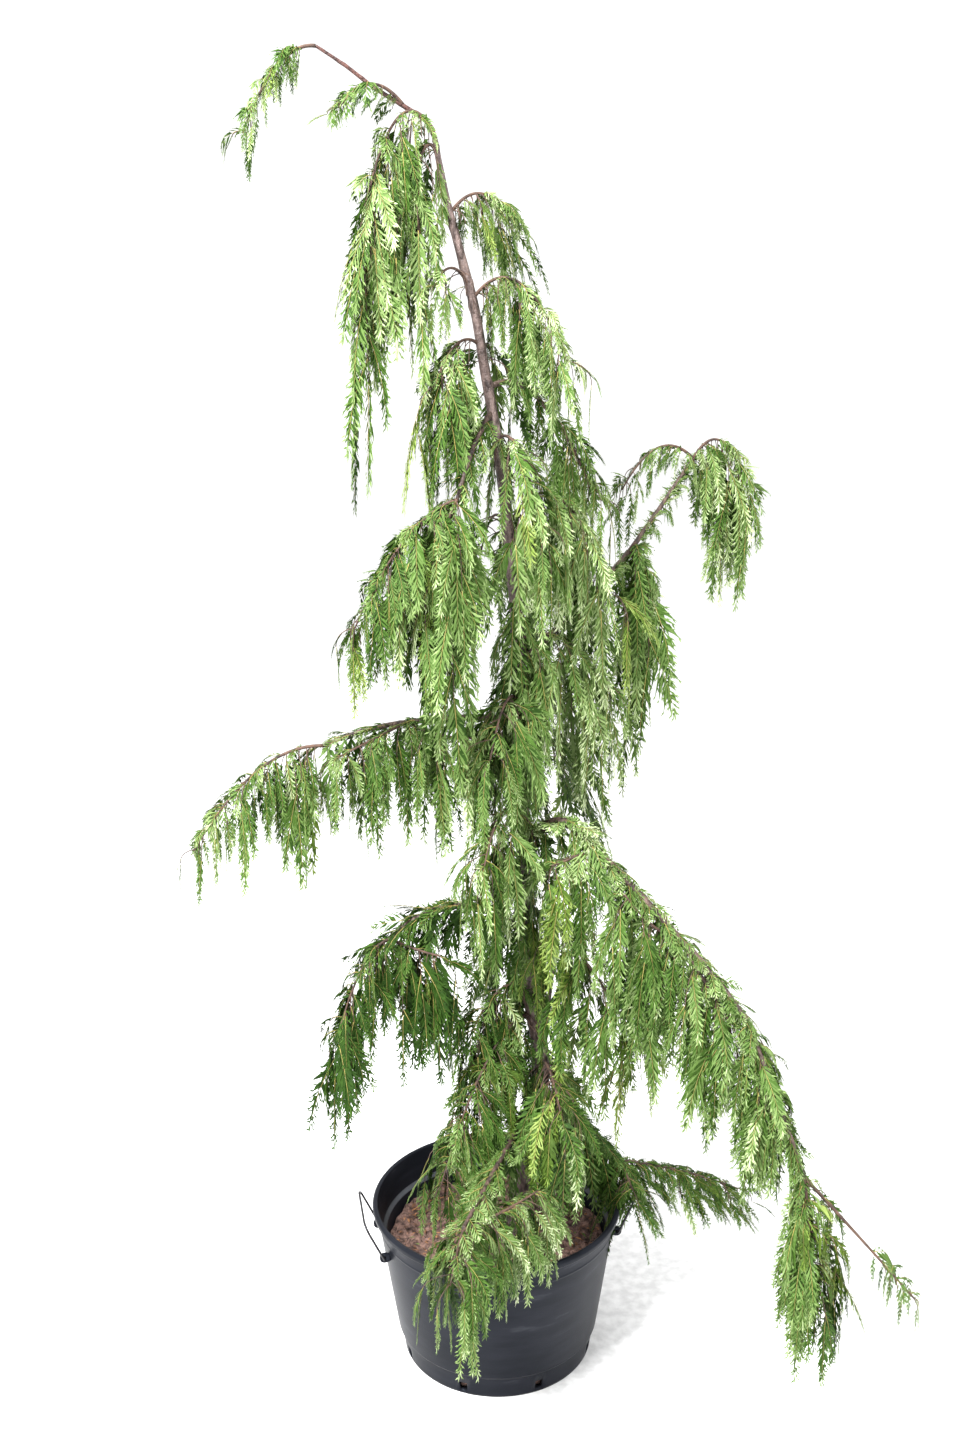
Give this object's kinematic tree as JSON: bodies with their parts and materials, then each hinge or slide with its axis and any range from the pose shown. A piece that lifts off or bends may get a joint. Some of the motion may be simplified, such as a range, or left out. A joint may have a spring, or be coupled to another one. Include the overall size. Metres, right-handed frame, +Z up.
{
  "type": "potted weeping nootka cypress",
  "caption": "Slender weeping cypress with a nodding leader, long arching boughs and hanging curtains of flat green sprays, in a round black nursery pot with wire handles.",
  "frame": {"origin": "middle of the pot's flat underside", "axes": "+Z up along the height of the tree; -Y is the front, +X is the right of the front view"},
  "size_m": [1.1566, 0.817, 2.2094],
  "materials": {
    "pot_plastic": "satin",
    "handle_wire": "satin",
    "potting_soil": "matte",
    "bark": "matte",
    "foliage": "matte"
  },
  "bodies": {
    "root": {"pot": "pot_plastic", "soil": "potting_soil", "handle_left": "handle_wire", "handle_right": "handle_wire", "trunk": "bark", "right_upper_bough": "bark", "left_upper_bough": "bark", "raised_bough_low": "bark", "raised_bough_high": "bark", "left_long_bough_in": "bark", "left_long_bough_out": "bark", "right_long_bough_1": "bark", "right_long_bough_2": "bark", "right_long_bough_3": "bark", "right_long_bough_4": "bark", "left_low_bough": "bark", "right_low_bough": "bark", "front_bough": "bark", "leader_tassel": "foliage", "leader_tuft": "foliage", "crown_outer": "foliage", "crown_inner": "foliage", "front_high": "foliage", "right_top": "foliage", "right_high": "foliage", "left_high": "foliage", "right_upper": "foliage", "left_upper_inner": "foliage", "left_upper_outer": "foliage", "right_mid": "foliage", "right_mid_outer": "foliage", "right_mid_low": "foliage", "raised_left": "foliage", "raised_tip": "foliage", "raised_curtain": "foliage", "left_long_inner": "foliage", "left_long_middle": "foliage", "left_long_outer": "foliage", "centre_upper": "foliage", "centre_lower": "foliage", "right_long_inner": "foliage", "right_long_middle": "foliage", "right_long_outer": "foliage", "right_long_low": "foliage", "right_long_drop": "foliage", "right_long_end": "foliage", "left_low_inner": "foliage", "left_low_outer": "foliage", "right_inner": "foliage", "left_inner_low": "foliage", "left_front": "foliage", "right_low": "foliage", "right_low_inner": "foliage", "front_upper": "foliage", "front_middle": "foliage", "front_lower": "foliage", "back_high": "foliage", "back_upper": "foliage", "back_middle": "foliage", "back_low": "foliage"}
  },
  "joints": []
}
